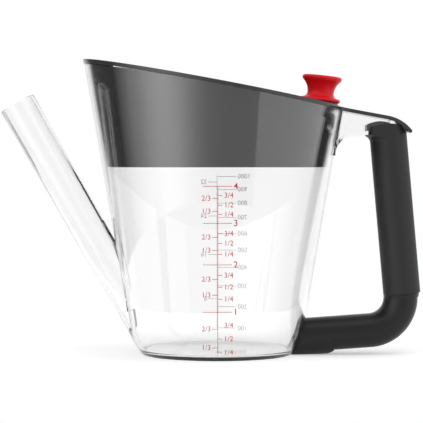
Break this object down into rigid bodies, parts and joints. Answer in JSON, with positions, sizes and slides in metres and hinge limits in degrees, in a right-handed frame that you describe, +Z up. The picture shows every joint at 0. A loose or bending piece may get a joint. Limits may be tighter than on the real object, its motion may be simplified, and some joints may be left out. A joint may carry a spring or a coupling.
{
  "type": "gravy fat separator",
  "caption": "Clear tapered jug with a low-set spout, slanted rim, lift-out perforated strainer, stopper and side handle, for pouring gravy from under its fat.",
  "frame": {"origin": "jug's axis at the plane of its base", "axes": "+Z up, +X towards the handle, -X towards the spout"},
  "size_m": [0.2436, 0.1508, 0.1711],
  "materials": {
    "clear": "clear polished",
    "core": "satin",
    "grip": "soft matt",
    "smoke": "polished",
    "silicone": "smooth"
  },
  "bodies": {
    "jug": {"jug_vessel": "clear", "jug_arm": "clear", "spout_tube": "clear", "handle_core": "core", "soft_grip": "grip"},
    "strainer": {"strainer_basket": "smoke", "strainer_screen": "smoke"},
    "stopper": {"stopper": "silicone"}
  },
  "joints": [
    {"name": "strainer_lift", "type": "slide", "parent": "jug", "child": "strainer", "axis": [0, 0, 1], "range_m": [0, 0.085]},
    {"name": "stopper_pull", "type": "slide", "parent": "strainer", "child": "stopper", "axis": [0.108, 0, 0.9942], "range_m": [0, 0.028]}
  ]
}
